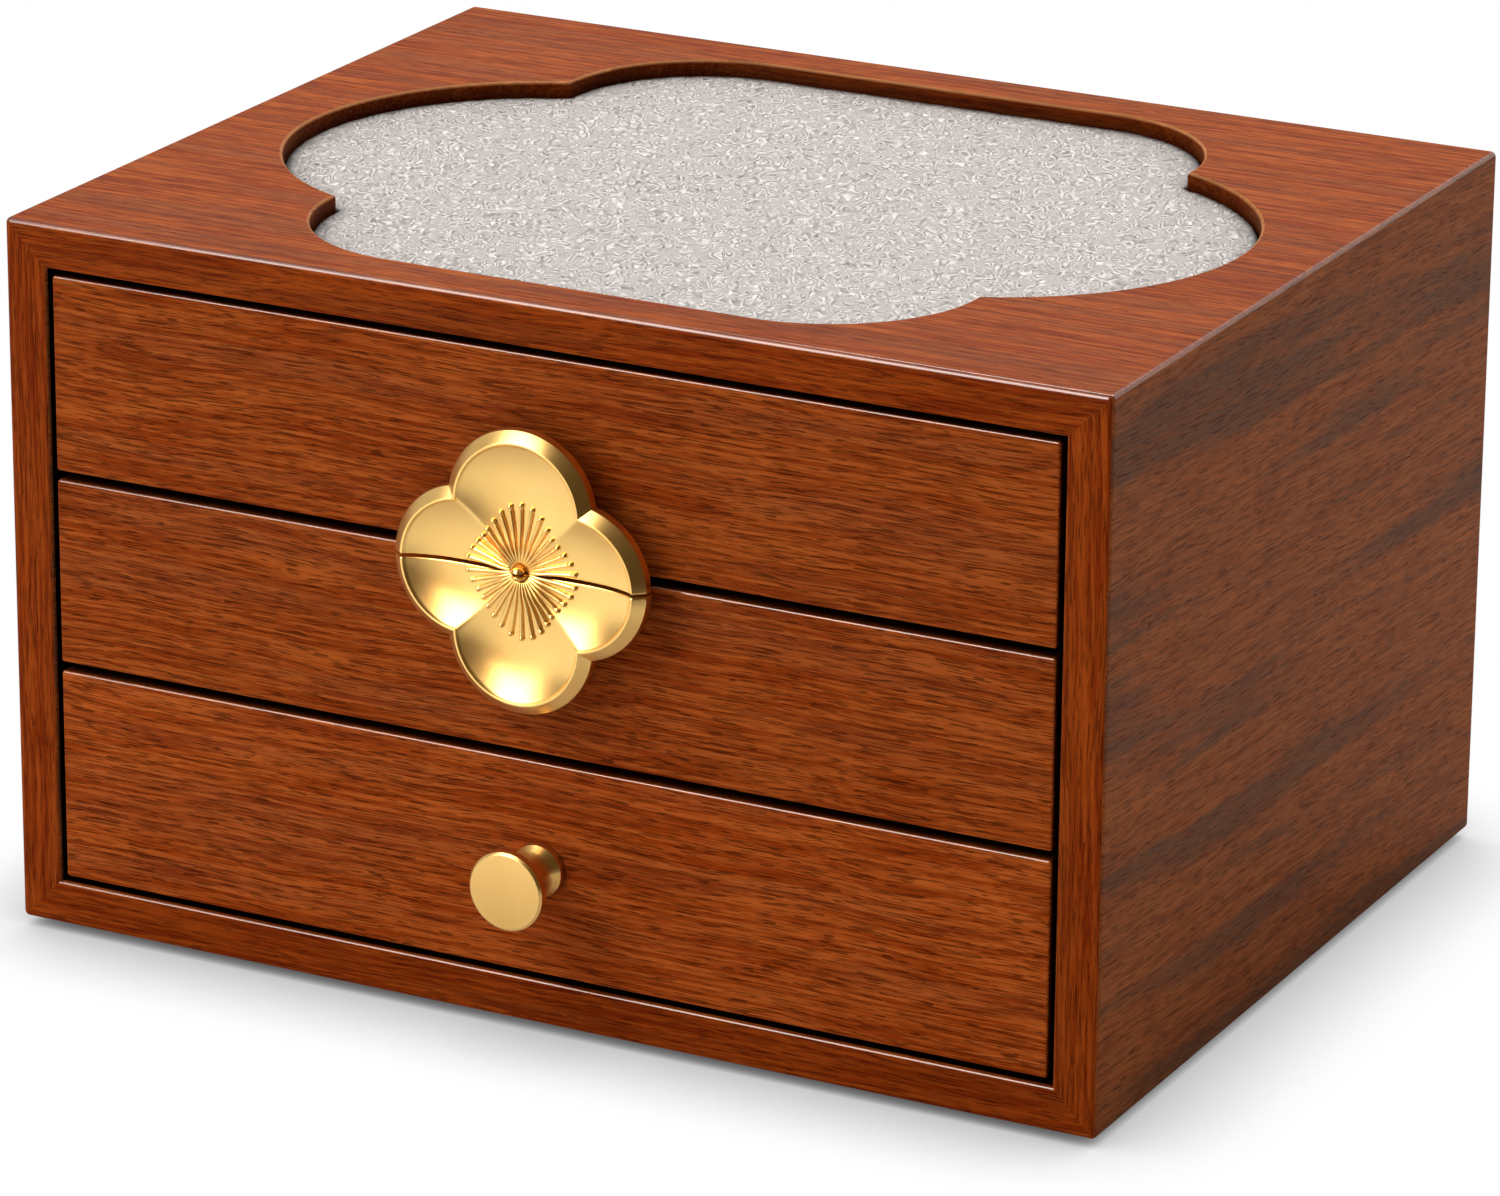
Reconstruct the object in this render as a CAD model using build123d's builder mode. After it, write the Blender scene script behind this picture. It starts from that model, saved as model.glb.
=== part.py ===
from build123d import *
import os

# A wooden jewelry box: a mitred case with a lined tray in its top and three drawers.
# Millimetres, +Z up, front towards -Y. The origin is on the ground, under the middle of the whole box.

# Case
case_width = 250.0
case_depth = 195.0
board_thickness = 9.5
case_edge_radius = 1.2
inner_edge_radius = 0.6
back_thickness = 5.0
back_rebate = 5.0

# Loose tongues in the mitred corners
tongue_thickness = 2.0
tongue_width = 7.0
tongue_end_margin = 15.0

# Feet
foot_height = 2.0
foot_diameter = 14.0
foot_inset = 18.0
foot_edge = 0.4

# Opening in the top: a rounded rectangle with a round lobe at each side
tray_side_margin = 17.0
tray_end_margin = 12.5
tray_lobe_reach = 34.0
tray_shoulder = 1.5
tray_corner_radius = 33.0
tray_edge_radius = 0.8
tray_depth = 5.0
pad_clearance = 0.3
pad_edge_radius = 0.8
tray_board_thickness = 3.0
tray_board_clearance = 1.0
tray_screw_inset_x = 22.0
tray_screw_inset_y = 17.0

# Drawer fronts
bottom_front_height = 46.0
middle_front_height = 40.0
top_front_height = 42.0
reveal_gap = 1.5
drawer_gap = 2.0
front_setback = 0.4
front_thickness = 8.0
front_corner_radius = 0.6
front_edge_radius = 0.5

# Drawer boxes
side_thickness = 8.0
side_clearance = 2.5
side_drop = 6.0
side_housing = 3.0
side_edge_radius = 0.8
drawer_back_gap = 3.5
floor_thickness = 3.0
floor_raise = 3.0
floor_groove = 3.0
lining_thickness = 1.2
lining_clearance = 0.3

# Runners, which reach into a groove in each drawer side
runner_height = 8.0
runner_grip = 3.5
runner_clearance = 0.3
groove_stop = 12.0
runner_screw_inset = 25.0

# Flower pull, four petals cut in two by a level slit
petal_radius = 14.2
petal_reach_up = 13.4
petal_reach_side = 12.2
petal_rim = 0.6
petal_bevel = 2.2
petal_bevel_depth = 2.0
petal_wall = 2.2
cup_depth = 2.8
flower_slit = 0.7
flower_ball_radius = 1.6
flower_standoff = 5.8

# Posts of the flower pull
post_diameter = 6.0
post_spread = 21.0
post_screw_clearance = 1.3

# Knob
knob_projection = 14.8
knob_face_diameter = 16.8
knob_face_thickness = 2.2
knob_base_diameter = 11.4
knob_base_thickness = 1.6
knob_neck_diameter = 6.8
knob_edge_radius = 0.5

# Wood screws with countersunk heads
wood_screw_diameter = 2.5
wood_screw_head_diameter = 5.0
wood_screw_head_height = 1.3
wood_screw_bite = 6.0

# Machine screws of the flower pull and of the knob
pull_screw_diameter = 3.0
pull_screw_head_diameter = 6.0
pull_screw_head_height = 2.2
pull_screw_bite = 1.6
knob_screw_diameter = 4.0
knob_screw_head_diameter = 8.0
knob_screw_head_height = 2.6
knob_screw_bite = 8.0
screw_head_edge = 0.7

# Pins of the back panel
pin_diameter = 1.2
pin_head_diameter = 2.4
pin_head_height = 0.6
pin_tip_cover = 1.5
pin_end_margin = 20.0
pins_across = 4
pins_up = 3

# Room around a screw or pin in its hole
hole_clearance = 0.05

# Heights of the case and its drawers, from the ground up
inner_bottom = foot_height + board_thickness
bottom_drawer_z = inner_bottom + reveal_gap
middle_drawer_z = bottom_drawer_z + bottom_front_height + drawer_gap
top_drawer_z = middle_drawer_z + middle_front_height + drawer_gap
inner_top = top_drawer_z + top_front_height + reveal_gap
case_top = inner_top + board_thickness
case_height = case_top - foot_height
case_middle_z = (case_top + foot_height) / 2
inner_width = case_width - 2 * board_thickness
inner_height = inner_top - inner_bottom

# Depths: the origin lies midway between the back of the case and the pull that reaches furthest
flower_thickness = petal_bevel_depth + petal_wall
pull_reach = max(knob_projection, flower_standoff + flower_thickness) - front_setback
front_y = (pull_reach - case_depth) / 2
back_y = front_y + case_depth
case_middle_y = (front_y + back_y) / 2
back_panel_y = back_y - back_thickness
drawer_front_y = front_y + front_setback
front_inside_y = drawer_front_y + front_thickness
drawer_back_y = back_panel_y - drawer_back_gap
back_inside_y = drawer_back_y - side_thickness

# Pins stop short of the opening in the top
pin_bite = tray_end_margin - back_thickness - pin_tip_cover

# Drawer widths and the tray
front_width = inner_width - 2 * reveal_gap
drawer_width = inner_width - 2 * side_clearance
drawer_inner_width = drawer_width - 2 * side_thickness
drawer_inner_depth = back_inside_y - front_inside_y
drawer_inner_middle_y = (front_inside_y + back_inside_y) / 2
tray_width = case_width - 2 * tray_side_margin
tray_rectangle_width = tray_width - 2 * tray_lobe_reach
tray_rectangle_depth = case_depth - 2 * tray_end_margin
# A lobe is a round arc that leaves the rectangle's side just past its rounded corners
tray_lobe_half_mouth = tray_rectangle_depth / 2 - tray_corner_radius - tray_shoulder
tray_lobe_radius = (tray_lobe_half_mouth**2 + tray_lobe_reach**2) / (2 * tray_lobe_reach)
tray_lobe_x = tray_width / 2 - tray_lobe_radius
tray_board_bottom = inner_top - tray_board_thickness

# Runners
runner_thickness = side_clearance + runner_grip
groove_depth = runner_grip + runner_clearance
groove_height = runner_height + 2 * runner_clearance
groove_front_y = front_inside_y + groove_stop
runner_front_y = groove_front_y + runner_clearance
runner_length = back_panel_y - runner_front_y

# The flower's centre is in the middle of the gap between the top and middle drawers
flower_z = top_drawer_z - drawer_gap / 2
knob_z = bottom_drawer_z + bottom_front_height / 2

# The posts' screws pass just above the lining of the top drawer
lining_top = floor_raise + floor_thickness + lining_thickness
post_rise = drawer_gap / 2 + lining_top + post_screw_clearance + pull_screw_head_diameter / 2

RIGHT = 1
LEFT = -1
UP = 1
DOWN = -1
FROM_TOP = (Align.CENTER, Align.CENTER, Align.MAX)
FROM_BASE = (Align.CENTER, Align.CENTER, Align.MIN)
FROM_FRONT = (Align.CENTER, Align.MIN, Align.MIN)

os.makedirs("parts", exist_ok=True)


def keep(builder, name):
    """Label a finished piece and write it."""
    builder.part.label = name
    export_step(builder.part, f"parts/{name}.step")


# Screws and pins, each with its head's face at the origin and its shank along -Z


def wood_screw(length, clearance=0.0):
    with BuildPart() as screw:
        Cylinder(wood_screw_diameter / 2 + clearance, length + clearance, align=FROM_TOP)
        Cone(
            wood_screw_diameter / 2 + clearance,
            wood_screw_head_diameter / 2 + clearance,
            wood_screw_head_height,
            align=FROM_TOP,
        )
    return screw.part


def machine_screw(diameter, head_diameter, head_height, length):
    with BuildPart() as screw:
        Cylinder(head_diameter / 2, head_height, align=FROM_BASE)
        Cylinder(diameter / 2, length, align=FROM_TOP)
        fillet(screw.edges().sort_by(Axis.Z)[-1], screw_head_edge)
    return screw.part


def back_pin(clearance=0.0):
    with BuildPart() as pin:
        Cylinder(pin_diameter / 2 + clearance, back_thickness + pin_bite + clearance, align=FROM_TOP)
        Cylinder(pin_head_diameter / 2 + clearance, pin_head_height + clearance, align=FROM_TOP)
    return pin.part


tray_screw_length = tray_board_thickness + wood_screw_bite
runner_screw_length = runner_thickness + wood_screw_bite

# Where the screws and pins sit: each place has the head's outer face as its plane
tray_screw_x = inner_width / 2 - tray_screw_inset_x
tray_screw_y = case_depth / 2 - tray_screw_inset_y
tray_screw_places = [
    Plane((x, case_middle_y + y, tray_board_bottom), z_dir=(0, 0, -1)).location
    for x in (-tray_screw_x, tray_screw_x)
    for y in (-tray_screw_y, tray_screw_y)
]

side_height_of = {}
runner_z_of = {}
for drawer, bottom_z, height in (
    ("bottom", bottom_drawer_z, bottom_front_height),
    ("middle", middle_drawer_z, middle_front_height),
    ("top", top_drawer_z, top_front_height),
):
    side_height_of[drawer] = height - side_drop
    runner_z_of[drawer] = bottom_z + side_height_of[drawer] / 2


def runner_screw_places(side):
    """Screw places on the inner faces of one side's runners."""
    x = side * (inner_width / 2 - runner_thickness)
    ends = (runner_front_y + runner_screw_inset, back_panel_y - runner_screw_inset)
    return [
        Plane((x, y, z), z_dir=(-side, 0, 0)).location
        for z in runner_z_of.values()
        for y in ends
    ]


pin_rows_x = (inner_width + back_rebate) / 2
pin_rows_z = (inner_height + back_rebate) / 2
pin_step_x = (inner_width - 2 * pin_end_margin) / (pins_across - 1)
pin_step_z = (inner_height - 2 * pin_end_margin) / (pins_up - 1)
inner_middle_z = (inner_bottom + inner_top) / 2
pin_spots = [
    (column * pin_step_x - (pins_across - 1) * pin_step_x / 2, row)
    for column in range(pins_across)
    for row in (-pin_rows_z, pin_rows_z)
]
pin_spots += [
    (column, row * pin_step_z - (pins_up - 1) * pin_step_z / 2)
    for row in range(pins_up)
    for column in (-pin_rows_x, pin_rows_x)
]
pin_places = [
    Plane((x, back_y, inner_middle_z + z), x_dir=(1, 0, 0), z_dir=(0, 1, 0)).location for x, z in pin_spots
]

# Case boards: a mitred ring cut from one block with eased edges

with BuildPart() as case_block:
    with Locations((0, case_middle_y, case_middle_z)):
        Box(case_width, case_depth, case_height)
    fillet(case_block.edges(), case_edge_radius)

with BuildPart() as back_recess:
    with Locations((0, back_y, inner_middle_z)):
        Box(
            inner_width + 2 * back_rebate,
            back_thickness,
            inner_height + 2 * back_rebate,
            align=(Align.CENTER, Align.MAX, Align.CENTER),
        )

mitre_x = (case_width - board_thickness) / 2
mitre_z = (case_height - board_thickness) / 2
with BuildPart() as corner_tongues:
    for across in (LEFT, RIGHT):
        for up in (DOWN, UP):
            corner = (across * mitre_x, case_middle_y, case_middle_z + up * mitre_z)
            with Locations(Location(corner, (0, 45 * across * up, 0))):
                Box(tongue_width, case_depth - 2 * tongue_end_margin, tongue_thickness)
keep(corner_tongues, "corner_tongues")

outer_corners = {
    (across, up): (across * case_width / 2, case_middle_z + up * case_height / 2)
    for across in (LEFT, RIGHT)
    for up in (DOWN, UP)
}
inner_corners = {
    (across, up): (across * inner_width / 2, inner_middle_z + up * inner_height / 2)
    for across in (LEFT, RIGHT)
    for up in (DOWN, UP)
}


def case_board(first, second):
    """One board of the ring, between two of its corners, mitred and rebated for the back."""
    with BuildPart() as board:
        with BuildSketch(Plane.XZ.offset(-back_y)):
            Polygon(outer_corners[first], outer_corners[second], inner_corners[second], inner_corners[first])
        extrude(amount=case_depth)
        add(case_block.part, mode=Mode.INTERSECT)
        add(back_recess.part, mode=Mode.SUBTRACT)
        add(corner_tongues.part, mode=Mode.SUBTRACT)
        with Locations(*pin_places):
            add(back_pin(hole_clearance), mode=Mode.SUBTRACT)
        inner_middle = Vector(inner_corners[first]) + Vector(inner_corners[second])
        inner_middle = inner_middle / 2
        inner_edge = board.edges().sort_by_distance((inner_middle.X, front_y, inner_middle.Y))[0]
        fillet(inner_edge, inner_edge_radius)
    return board.part


with BuildSketch(Plane.XY.offset(case_top)) as tray_outline:
    with Locations((0, case_middle_y)):
        RectangleRounded(tray_rectangle_width, tray_rectangle_depth, tray_corner_radius)
    with Locations((-tray_lobe_x, case_middle_y), (tray_lobe_x, case_middle_y)):
        Circle(tray_lobe_radius)

with BuildPart() as top_panel:
    add(case_board((LEFT, UP), (RIGHT, UP)))
    extrude(tray_outline.sketch, amount=-board_thickness, mode=Mode.SUBTRACT)
    rim = top_panel.faces().sort_by(Axis.Z)[-1].inner_wires()[0].edges()
    fillet(rim, tray_edge_radius)
    with Locations(*tray_screw_places):
        add(wood_screw(tray_screw_length, hole_clearance), mode=Mode.SUBTRACT)
keep(top_panel, "top_panel")

with BuildPart() as bottom_panel:
    add(case_board((LEFT, DOWN), (RIGHT, DOWN)))
keep(bottom_panel, "bottom_panel")

for side, name in ((LEFT, "left"), (RIGHT, "right")):
    with BuildPart() as side_panel:
        add(case_board((side, DOWN), (side, UP)))
        with Locations(*runner_screw_places(side)):
            add(wood_screw(runner_screw_length, hole_clearance), mode=Mode.SUBTRACT)
    keep(side_panel, f"{name}_side_panel")

with BuildPart() as back_panel:
    add(back_recess.part)
    with Locations(*pin_places):
        add(back_pin(hole_clearance), mode=Mode.SUBTRACT)
keep(back_panel, "back_panel")

with BuildPart() as back_panel_pins:
    with Locations(*pin_places):
        add(back_pin())
keep(back_panel_pins, "back_panel_pins")

# Feet

foot_x = case_width / 2 - foot_inset
foot_y = case_depth / 2 - foot_inset
for depth_name, y in (("front", -foot_y), ("back", foot_y)):
    for side_name, x in (("left", -foot_x), ("right", foot_x)):
        with BuildPart() as foot:
            with Locations((x, case_middle_y + y, 0)):
                Cylinder(foot_diameter / 2, foot_height, align=FROM_BASE)
            chamfer(foot.edges().sort_by(Axis.Z)[0], foot_edge)
        keep(foot, f"{depth_name}_{side_name}_foot")

# Tray in the top: a fabric pad on a thin board screwed up under the opening

with BuildPart() as tray_pad:
    with BuildSketch(Plane.XY.offset(inner_top)):
        add(tray_outline.sketch.moved(Location((0, 0, -case_top))))
        offset(amount=-pad_clearance, kind=Kind.INTERSECTION)
    extrude(amount=board_thickness - tray_depth)
    fillet(tray_pad.faces().sort_by(Axis.Z)[-1].edges(), pad_edge_radius)
keep(tray_pad, "tray_pad")

tray_board_front_y = front_inside_y + tray_board_clearance
with BuildPart() as tray_board:
    with Locations((0, tray_board_front_y, tray_board_bottom)):
        Box(inner_width, back_panel_y - tray_board_front_y, tray_board_thickness, align=FROM_FRONT)
    with Locations(*tray_screw_places):
        add(wood_screw(tray_screw_length, hole_clearance), mode=Mode.SUBTRACT)
keep(tray_board, "tray_board")

with BuildPart() as tray_screws:
    with Locations(*tray_screw_places):
        add(wood_screw(tray_screw_length))
keep(tray_screws, "tray_board_screws")

# Runners

for side, side_name in ((LEFT, "left"), (RIGHT, "right")):
    runner_x = side * (inner_width - runner_thickness) / 2
    for drawer, runner_z in runner_z_of.items():
        with BuildPart() as runner:
            with Locations((runner_x, runner_front_y, runner_z - runner_height / 2)):
                Box(runner_thickness, runner_length, runner_height, align=FROM_FRONT)
            with Locations(*runner_screw_places(side)):
                add(wood_screw(runner_screw_length, hole_clearance), mode=Mode.SUBTRACT)
        keep(runner, f"{drawer}_{side_name}_runner")

with BuildPart() as runner_screws:
    with Locations(*runner_screw_places(LEFT), *runner_screw_places(RIGHT)):
        add(wood_screw(runner_screw_length))
keep(runner_screws, "runner_screws")

# Pulls: places on the drawer fronts' outer faces, with the plane's Z pointing out to the front

upper_post_spots = [(-post_spread / 2, post_rise), (post_spread / 2, post_rise)]
lower_post_spots = [(-post_spread / 2, -post_rise), (post_spread / 2, -post_rise)]
flower_plane = Plane((0, drawer_front_y, flower_z), x_dir=(1, 0, 0), z_dir=(0, -1, 0))
knob_plane = Plane((0, drawer_front_y, knob_z), x_dir=(1, 0, 0), z_dir=(0, -1, 0))
pull_holes_of = {
    "bottom": [(knob_plane, [(0, 0)], knob_screw_diameter)],
    "middle": [(flower_plane, lower_post_spots, pull_screw_diameter)],
    "top": [(flower_plane, upper_post_spots, pull_screw_diameter)],
}

# Drawers


def drawer_pieces(drawer, bottom_z, height):
    """Build and write the six pieces of one drawer."""
    side_height = side_height_of[drawer]
    floor_z = bottom_z + floor_raise
    side_x = (drawer_width - side_thickness) / 2

    with BuildPart() as floor_board:
        with Locations((0, front_inside_y - floor_groove, floor_z)):
            Box(
                drawer_inner_width + 2 * floor_groove,
                drawer_inner_depth + 2 * floor_groove,
                floor_thickness,
                align=FROM_FRONT,
            )
    keep(floor_board, f"{drawer}_drawer_floor")

    with BuildPart() as front:
        with Locations((0, drawer_front_y, bottom_z)):
            Box(front_width, front_thickness, height, align=FROM_FRONT)
        fillet(front.edges().filter_by(Axis.Y), front_corner_radius)
        fillet(front.faces().sort_by(Axis.Y)[0].edges(), front_edge_radius)
        with Locations(*[(side * side_x, front_inside_y - side_housing, bottom_z) for side in (LEFT, RIGHT)]):
            Box(side_thickness, side_housing, side_height, align=FROM_FRONT, mode=Mode.SUBTRACT)
        add(floor_board.part, mode=Mode.SUBTRACT)
        for plane, spots, diameter in pull_holes_of[drawer]:
            with BuildSketch(plane):
                with Locations(*spots):
                    Circle(diameter / 2 + hole_clearance)
            extrude(amount=-front_thickness, mode=Mode.SUBTRACT)
    keep(front, f"{drawer}_drawer_front")

    for side, side_name in ((LEFT, "left"), (RIGHT, "right")):
        with BuildPart() as drawer_side:
            with Locations((side * side_x, front_inside_y - side_housing, bottom_z)):
                Box(
                    side_thickness,
                    drawer_back_y - front_inside_y + side_housing,
                    side_height,
                    align=FROM_FRONT,
                )
            fillet(drawer_side.faces().sort_by(Axis.Z)[-1].edges().filter_by(Axis.Y), side_edge_radius)
            with Locations((side * (drawer_width - groove_depth) / 2, groove_front_y, runner_z_of[drawer])):
                Box(
                    groove_depth,
                    drawer_back_y - groove_front_y,
                    groove_height,
                    align=(Align.CENTER, Align.MIN, Align.CENTER),
                    mode=Mode.SUBTRACT,
                )
            add(floor_board.part, mode=Mode.SUBTRACT)
        keep(drawer_side, f"{drawer}_drawer_{side_name}_side")

    with BuildPart() as drawer_back:
        with Locations((0, back_inside_y, bottom_z)):
            Box(drawer_inner_width, side_thickness, side_height, align=FROM_FRONT)
        fillet(drawer_back.faces().sort_by(Axis.Z)[-1].edges().filter_by(Axis.X), side_edge_radius)
        add(floor_board.part, mode=Mode.SUBTRACT)
    keep(drawer_back, f"{drawer}_drawer_back")

    with BuildPart() as lining:
        with Locations((0, drawer_inner_middle_y, floor_z + floor_thickness)):
            Box(
                drawer_inner_width - 2 * lining_clearance,
                drawer_inner_depth - 2 * lining_clearance,
                lining_thickness,
                align=FROM_BASE,
            )
    keep(lining, f"{drawer}_drawer_lining")


drawer_pieces("bottom", bottom_drawer_z, bottom_front_height)
drawer_pieces("middle", middle_drawer_z, middle_front_height)
drawer_pieces("top", top_drawer_z, top_front_height)

# Flower pull: four bevelled petals with a round cup cut in each, standing on two posts to a half

petal_spots = [(0, petal_reach_up), (0, -petal_reach_up), (-petal_reach_side, 0), (petal_reach_side, 0)]
rim_height = flower_standoff + flower_thickness
cup_radius = petal_radius - petal_rim
cup_sphere_radius = (cup_radius**2 + cup_depth**2) / (2 * cup_depth)
cup_sphere_height = rim_height - cup_depth + cup_sphere_radius
ball_drop = petal_reach_side**2 / (2 * cup_sphere_radius)
ball_height = rim_height - cup_depth + ball_drop
flower_reach = petal_reach_up + petal_radius + petal_bevel
pull_screw_length = front_thickness + flower_standoff + pull_screw_bite

with BuildPart() as pull_screw_holes:
    with BuildSketch(flower_plane):
        with Locations(*upper_post_spots, *lower_post_spots):
            Circle(pull_screw_diameter / 2 + hole_clearance)
    extrude(amount=flower_standoff + pull_screw_bite + hole_clearance)

with BuildPart(flower_plane) as whole_flower:
    with Locations(*[(x, z, flower_standoff) for x, z in petal_spots]):
        Cylinder(petal_radius + petal_bevel, petal_wall, align=FROM_BASE)
    with Locations(*[(x, z, flower_standoff + petal_wall) for x, z in petal_spots]):
        Cone(petal_radius + petal_bevel, petal_radius, petal_bevel_depth, align=FROM_BASE)
    with Locations(*[(x, z, cup_sphere_height) for x, z in petal_spots]):
        Sphere(cup_sphere_radius, mode=Mode.SUBTRACT)
    with Locations((0, 0, ball_height)):
        Sphere(flower_ball_radius)

for half, up, post_spots in (("upper", UP, upper_post_spots), ("lower", DOWN, lower_post_spots)):
    with BuildPart() as flower_half:
        with BuildSketch(flower_plane):
            with Locations((0, up * (flower_slit + flower_reach) / 2)):
                Rectangle(2 * flower_reach, flower_reach)
        extrude(amount=rim_height + flower_ball_radius)
        add(whole_flower.part, mode=Mode.INTERSECT)
        add(pull_screw_holes.part, mode=Mode.SUBTRACT)
    keep(flower_half, f"flower_{half}_half")

    with BuildPart() as posts:
        with BuildSketch(flower_plane):
            with Locations(*post_spots):
                Circle(post_diameter / 2)
        extrude(amount=flower_standoff)
        add(pull_screw_holes.part, mode=Mode.SUBTRACT)
    keep(posts, f"flower_{half}_posts")

    with BuildPart(flower_plane.rotated((180, 0, 0)).offset(front_thickness)) as screws:
        with Locations(*[(x, -z, 0) for x, z in post_spots]):
            add(
                machine_screw(
                    pull_screw_diameter,
                    pull_screw_head_diameter,
                    pull_screw_head_height,
                    pull_screw_length,
                )
            )
    keep(screws, f"flower_{half}_screws")

# Knob: turned in one piece, with a hollow neck between its base and its flat face

neck_start = knob_base_thickness
neck_end = knob_projection - knob_face_thickness
neck_middle = (neck_start + neck_end) / 2
knob_screw_length = front_thickness + knob_screw_bite

with BuildPart() as knob:
    with BuildSketch(Plane((0, drawer_front_y, knob_z), x_dir=(1, 0, 0), z_dir=(0, 0, 1))):
        with BuildLine():
            base = Polyline(
                (0, 0),
                (knob_base_diameter / 2, 0),
                (knob_base_diameter / 2, -neck_start),
            )
            neck = ThreePointArc(
                base @ 1,
                (knob_neck_diameter / 2, -neck_middle),
                (knob_base_diameter / 2, -neck_end),
            )
            Polyline(
                neck @ 1,
                (knob_face_diameter / 2, -neck_end),
                (knob_face_diameter / 2, -knob_projection),
                (0, -knob_projection),
                (0, 0),
            )
        make_face()
    revolve(axis=Axis((0, drawer_front_y, knob_z), (0, 1, 0)))
    face_edges = knob.edges().filter_by(GeomType.CIRCLE).sort_by(Axis.Y)[:1]
    fillet(face_edges, knob_edge_radius)
    with BuildSketch(knob_plane):
        Circle(knob_screw_diameter / 2 + hole_clearance)
    extrude(amount=knob_screw_bite + hole_clearance, mode=Mode.SUBTRACT)
keep(knob, "knob")

with BuildPart(knob_plane.rotated((180, 0, 0)).offset(front_thickness)) as knob_screw:
    add(
        machine_screw(
            knob_screw_diameter,
            knob_screw_head_diameter,
            knob_screw_head_height,
            knob_screw_length,
        )
    )
keep(knob_screw, "knob_screw")
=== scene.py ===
import math
from functools import partial

import bpy
import numpy as np
from mathutils import Matrix, Vector


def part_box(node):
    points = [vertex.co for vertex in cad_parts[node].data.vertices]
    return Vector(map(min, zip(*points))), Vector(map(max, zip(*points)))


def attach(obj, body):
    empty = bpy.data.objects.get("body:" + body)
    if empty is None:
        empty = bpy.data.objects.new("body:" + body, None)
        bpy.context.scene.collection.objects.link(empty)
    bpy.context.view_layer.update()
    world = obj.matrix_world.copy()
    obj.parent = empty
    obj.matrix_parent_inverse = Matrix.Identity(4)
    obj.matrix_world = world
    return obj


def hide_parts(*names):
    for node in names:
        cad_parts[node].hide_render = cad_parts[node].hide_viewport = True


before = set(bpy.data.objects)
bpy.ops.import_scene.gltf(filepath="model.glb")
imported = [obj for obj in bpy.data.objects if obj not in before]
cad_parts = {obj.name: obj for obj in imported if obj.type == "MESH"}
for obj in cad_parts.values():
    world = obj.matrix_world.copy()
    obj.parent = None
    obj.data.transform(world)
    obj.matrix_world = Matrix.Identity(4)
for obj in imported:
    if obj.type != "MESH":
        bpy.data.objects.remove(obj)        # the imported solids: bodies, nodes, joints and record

bl_info = {
    "name": "Jewelry box with drawers",
    "version": (1, 0, 0),
    "blender": (4, 5, 0),
    "location": "3D View > Sidebar > Jewelry Box",
    "description": "Finishes, pulls, tray fabric and drawer linings of a wooden jewelry box",
    "category": "Object",
}

MM = 0.001
PER_MM = 1000.0          # scale of a pattern that is one millimetre across
DRAWERS = ("bottom", "middle", "top")
SIDES = ("left", "right")


def linear(colour):
    """Linear red, green, blue and alpha of an sRGB hex colour."""
    channels = [int(colour[place:place + 2], 16) / 255 for place in (1, 3, 5)]
    return tuple(c / 12.92 if c <= 0.04045 else ((c + 0.055) / 1.055) ** 2.4 for c in channels) + (1.0,)


def colour_property(name, description, colour):
    return bpy.props.FloatVectorProperty(
        name=name, description=description, subtype="COLOR", size=4, min=0, max=1, default=linear(colour)
    )


def length_property(name, description, size):
    return bpy.props.FloatProperty(
        name=name, description=description, subtype="DISTANCE", unit="LENGTH", min=0, precision=5,
        default=size,
    )


# Sizes and colours that a user would change


class VeneerFinish(bpy.types.PropertyGroup):
    """Colours of the lacquered veneer."""

    light: colour_property("Light", "Light streaks of the veneer", "#a8541f")
    middle: colour_property("Middle", "Main tone of the veneer", "#7f2e03")
    dark: colour_property("Dark", "Dark streaks of the veneer", "#601f02")
    band: colour_property("Band", "Grey-brown bands of the veneer", "#574233")
    faded: colour_property("Faded", "Veneer that light has bleached", "#8a6038")
    pore: colour_property("Pore", "Open pores, filled with stain", "#300b00")
    # Painted shade: the stain colour is painted inside the case and in narrow gaps, where shade falls
    stain: colour_property("Stain", "Dark stain inside the case", "#0c0502")
    # Painted shade: the tray's cut wall darkens to this tone down to the pad
    cut: colour_property("Cut", "Cut edge of the tray opening", "#260e03")
    # Painted highlight along the rim of the tray opening
    rim_highlight: colour_property("Worn", "Worn rim of the tray opening", "#d39a66")
    deep: colour_property("Deep", "Deeper stain on the front edges of the case, over the veneer", "#ebd5a5")


class PullFinish(bpy.types.PropertyGroup):
    """Colours of the plated pulls."""

    gold: colour_property("Gold", "Main tone of the plating", "#f5d084")
    warm: colour_property("Warm", "Warmer tone of the plating", "#eec372")


class FabricFinish(bpy.types.PropertyGroup):
    """Colours of the tray fabric and the drawer linings."""

    silver: colour_property("Silver", "Ground of the tray fabric", "#a59e99")
    # Painted light and shade on the two sides of the creases
    shade: colour_property("Shade", "Shaded sides of the creases", "#37322f")
    lit_side: colour_property("Crest", "Lit sides of the creases", "#f4efec")
    lining: colour_property("Lining", "Pile of the drawer linings", "#8f8782")


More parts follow.
